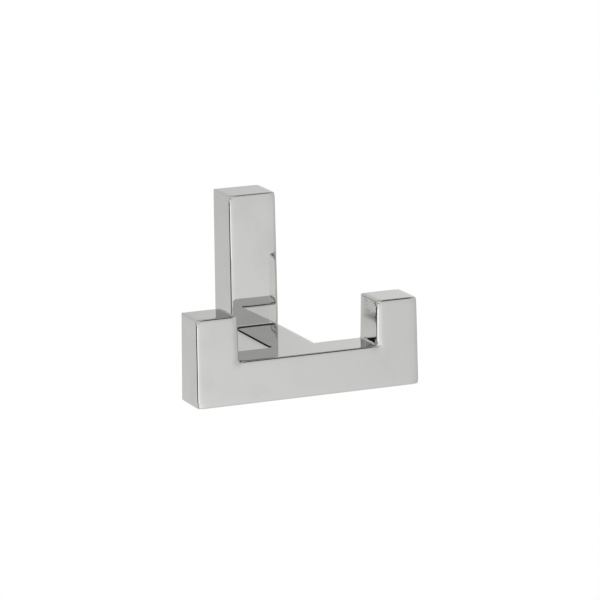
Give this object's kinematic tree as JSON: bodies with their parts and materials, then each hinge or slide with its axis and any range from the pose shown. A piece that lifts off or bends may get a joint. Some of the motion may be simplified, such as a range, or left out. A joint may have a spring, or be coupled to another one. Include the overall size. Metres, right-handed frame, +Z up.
{
  "type": "double robe hook",
  "caption": "Wall-mounted double robe hook of square chromed bar: an upright, a level web and a U-shaped front bar with upturned ends.",
  "frame": {"origin": "on the wall plane, centred on the upright's back, midway between the two wall screw holes", "axes": "+X to the right of someone facing the hook, +Y into the wall, +Z up"},
  "size_m": [0.0868, 0.0678, 0.0658],
  "materials": {
    "polished_chrome": "mirror-polished chrome plating on a zinc casting",
    "plated_steel": "zinc-plated folded steel strip",
    "screw_steel": "stainless steel"
  },
  "bodies": {
    "root": {"hook_body": "polished_chrome", "wall_bracket": "plated_steel", "set_screw": "screw_steel"}
  },
  "joints": []
}
